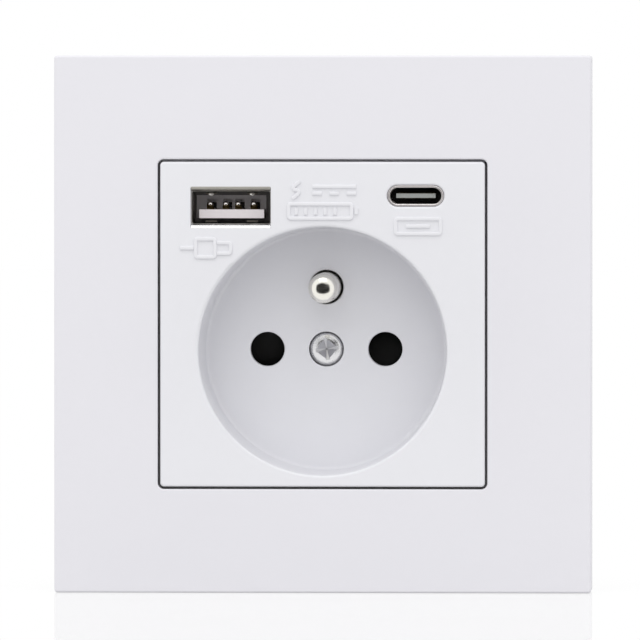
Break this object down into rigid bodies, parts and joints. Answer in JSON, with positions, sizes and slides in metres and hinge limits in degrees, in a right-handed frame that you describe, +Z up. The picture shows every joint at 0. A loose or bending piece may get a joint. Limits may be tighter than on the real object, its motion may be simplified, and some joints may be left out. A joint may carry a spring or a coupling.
{
  "type": "usb wall socket",
  "caption": "Square flush wall socket with a round plug recess, a standing earth pin, a shuttered pair of pin holes and two charging ports, on a strap and a rear housing for a round wall box.",
  "frame": {"origin": "middle of the wall plane, halfway between the two wall box screws", "axes": "+X to the right seen from the front, +Y into the wall, +Z up"},
  "size_m": [0.086, 0.037, 0.086],
  "materials": {
    "frame_plastic": "satin moulded",
    "cover_plastic": "satin moulded",
    "base_plastic": "matte moulded",
    "shutter_plastic": "matte moulded",
    "screw_steel": "zinc plated",
    "strap_steel": "zinc plated",
    "spring_steel": "drawn wire",
    "nickel": "nickel plated, polished",
    "brass": "stamped",
    "board_laminate": "coated laminate",
    "chip_resin": "moulded resin",
    "ferrite": "pressed and fired",
    "winding_tape": "tape over wire",
    "can_sleeve": "sleeved can",
    "port_steel": "nickel plated sheet",
    "white_insulator": "moulded",
    "grey_insulator": "moulded",
    "contact_gold": "gold flash"
  },
  "bodies": {
    "socket": {"cover_frame": "frame_plastic", "socket_cover": "cover_plastic", "centre_screw": "screw_steel", "centre_nut": "brass", "mounting_strap": "strap_steel", "strap_screws": "screw_steel", "rear_base": "base_plastic", "contact_carrier": "base_plastic", "carrier_screws": "screw_steel", "shutter_spring": "spring_steel", "earth_pin": "nickel", "earth_bar": "brass", "live_contact": "brass", "neutral_contact": "brass", "live_terminal": "brass", "neutral_terminal": "brass", "earth_terminal": "brass", "terminal_screws": "screw_steel", "charger_board": "board_laminate", "board_chips": "chip_resin", "transformer_core": "ferrite", "transformer_winding": "winding_tape", "input_capacitor": "can_sleeve", "output_capacitors": "can_sleeve", "usb_a_shell": "port_steel", "usb_a_insulator": "white_insulator", "usb_a_contacts": "contact_gold", "usb_c_shell": "port_steel", "usb_c_insulator": "grey_insulator", "usb_c_contacts": "contact_gold"},
    "shutter": {"shutter": "shutter_plastic"}
  },
  "joints": [
    {"name": "shutter_turn", "type": "hinge", "parent": "socket", "child": "shutter", "pos_m": [0, 0.0105, -0.0043], "axis": [0, 1, 0], "range_deg": [0, 40], "stiffness_Nm_per_rad": 0.01, "springref_deg": -17.19, "deforming": ["shutter_spring"]}
  ]
}
